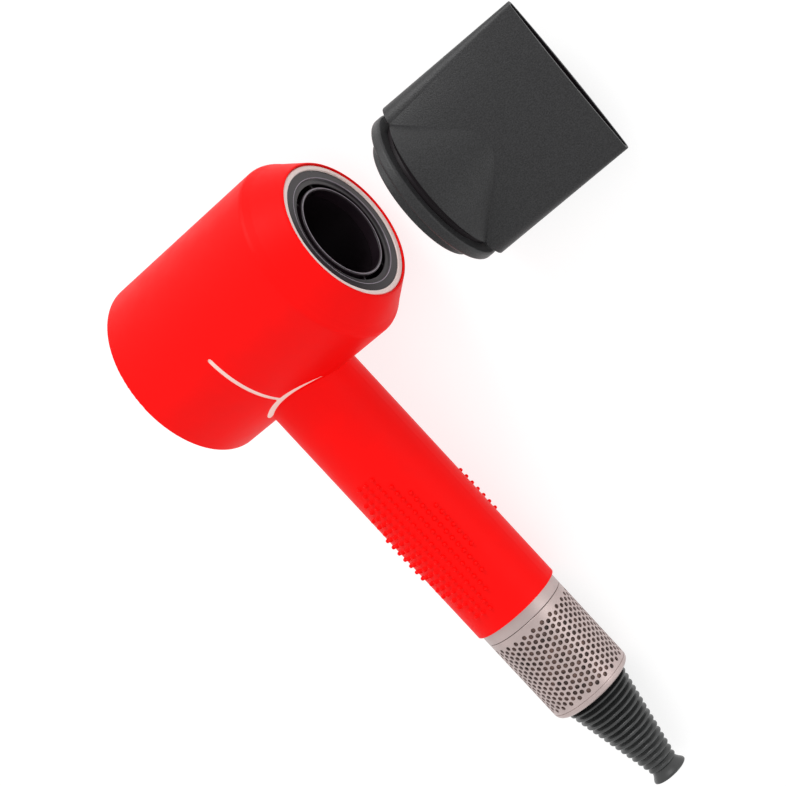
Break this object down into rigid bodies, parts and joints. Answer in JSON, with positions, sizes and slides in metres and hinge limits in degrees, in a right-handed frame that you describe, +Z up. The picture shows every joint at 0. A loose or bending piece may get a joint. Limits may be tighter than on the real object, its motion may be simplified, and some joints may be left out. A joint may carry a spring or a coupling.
{
  "type": "hair dryer",
  "caption": "Hand-held hair dryer in a soft stretch sleeve, lying on its side, with a ribbed cord relief, a perforated inlet filter and a flat nozzle taken off.",
  "frame": {"origin": "centre of the whole object's footprint on the surface it lies on, nozzle included", "axes": "+X along the head axis, the way the air leaves; +Z up from the surface; the handle runs towards -Y and droops a few degrees to the surface"},
  "size_m": [0.2108, 0.3006, 0.0821],
  "materials": {
    "red_silicone": "soft matte silicone",
    "body_plastic": "satin cream-silver",
    "trim_metal": "satin",
    "black_plastic": "semi-gloss black",
    "duct_plastic": "matte black",
    "key_plastic": "satin grey",
    "lens_plastic": "clear",
    "led_white": "white",
    "board_green": "solder mask",
    "switch_black": "moulded",
    "steel": "plain",
    "magnet_nickel": "nickel plated",
    "mica": "mica sheet",
    "heater_wire": "oxidised resistance wire",
    "duct_resin": "heat-resisting resin",
    "fuse_metal": "plain",
    "thermostat_ceramic": "glazed",
    "ioniser_plastic": "potted",
    "rubber_grey": "matte",
    "rubber_black": "matte",
    "switch_bezel": "satin",
    "capacitor_can": "sleeved",
    "sink_aluminium": "extruded",
    "motor_aluminium": "die cast",
    "stator_copper": "wound copper",
    "impeller_aluminium": "machined",
    "filter_metal": "satin, perforated",
    "mesh_steel": "fine woven mesh",
    "nozzle_plastic": "fine grained dark grey"
  },
  "bodies": {
    "dryer": {"silicone_sleeve": "red_silicone", "head_shell": "body_plastic", "front_trim_ring": "trim_metal", "outlet_insert": "black_plastic", "outlet_magnets": "magnet_nickel", "outlet_duct": "duct_resin", "inner_duct": "duct_plastic", "rear_ring": "switch_bezel", "control_board": "board_green", "button_switches": "switch_black", "indicator_leds": "led_white", "indicator_lenses": "lens_plastic", "board_screws": "steel", "heater_frame": "mica", "heater_coil": "heater_wire", "heater_shroud": "mica", "thermal_fuse": "fuse_metal", "thermostat": "thermostat_ceramic", "ioniser": "ioniser_plastic", "handle_shell": "body_plastic", "neck_gasket": "rubber_grey", "switch_plate": "switch_bezel", "cool_shot_switch": "switch_black", "power_board": "board_green", "slide_switch": "switch_black", "filter_capacitor": "capacitor_can", "heat_sink": "sink_aluminium", "motor_housing": "motor_aluminium", "motor_stator": "stator_copper", "motor_bearings": "steel", "motor_mounts": "rubber_grey", "inlet_bell": "duct_plastic", "inlet_collar": "filter_metal", "inlet_core": "duct_plastic", "strain_relief": "rubber_black", "cord_clamp": "switch_black", "clamp_screws": "steel"},
    "rotor": {"rotor_shaft": "steel", "rotor_magnet": "magnet_nickel", "impeller": "impeller_aluminium"},
    "slider": {"power_slider": "key_plastic"},
    "cool_shot": {"cool_shot_button": "key_plastic"},
    "heat_key": {"heat_button": "key_plastic"},
    "speed_key": {"speed_button": "key_plastic"},
    "filter": {"filter_cage": "filter_metal", "filter_mesh": "mesh_steel"},
    "nozzle_seat": {"nozzle_ring": "nozzle_plastic"},
    "nozzle": {"nozzle_shell": "nozzle_plastic"}
  },
  "joints": [
    {"name": "rotor_spin", "type": "hinge", "parent": "dryer", "child": "rotor", "pos_m": [-0.06427, -0.02395, 0.02716], "axis": [0, 0.9945, 0.1044], "continuous": true},
    {"name": "power_slide", "type": "slide", "parent": "dryer", "child": "slider", "axis": [0, 0.9945, 0.1044], "range_m": [0, 0.006]},
    {"name": "cool_shot_press", "type": "slide", "parent": "dryer", "child": "cool_shot", "axis": [1, 0, 0], "range_m": [0, 0.001], "stiffness_N_per_m": 300, "springref_m": -0.001},
    {"name": "heat_press", "type": "slide", "parent": "dryer", "child": "heat_key", "axis": [1, 0, 0], "range_m": [0, 0.0006], "stiffness_N_per_m": 300, "springref_m": -0.001},
    {"name": "speed_press", "type": "slide", "parent": "dryer", "child": "speed_key", "axis": [1, 0, 0], "range_m": [0, 0.0006], "stiffness_N_per_m": 300, "springref_m": -0.001},
    {"name": "filter_pull", "type": "slide", "parent": "dryer", "child": "filter", "axis": [0, -0.9945, -0.1044], "range_m": [0, 0.058]},
    {"name": "nozzle_fit", "type": "hinge", "parent": "dryer", "child": "nozzle_seat", "pos_m": [-0.01283, 0.10857, -0.12051], "axis": [-0.288, -0.9572, 0.0305], "range_deg": [0, 12.64]},
    {"name": "nozzle_turn", "type": "hinge", "parent": "nozzle_seat", "child": "nozzle", "pos_m": [0.03533, 0.09902, 0.0342], "axis": [0.9778, 0, -0.2096], "continuous": true}
  ]
}
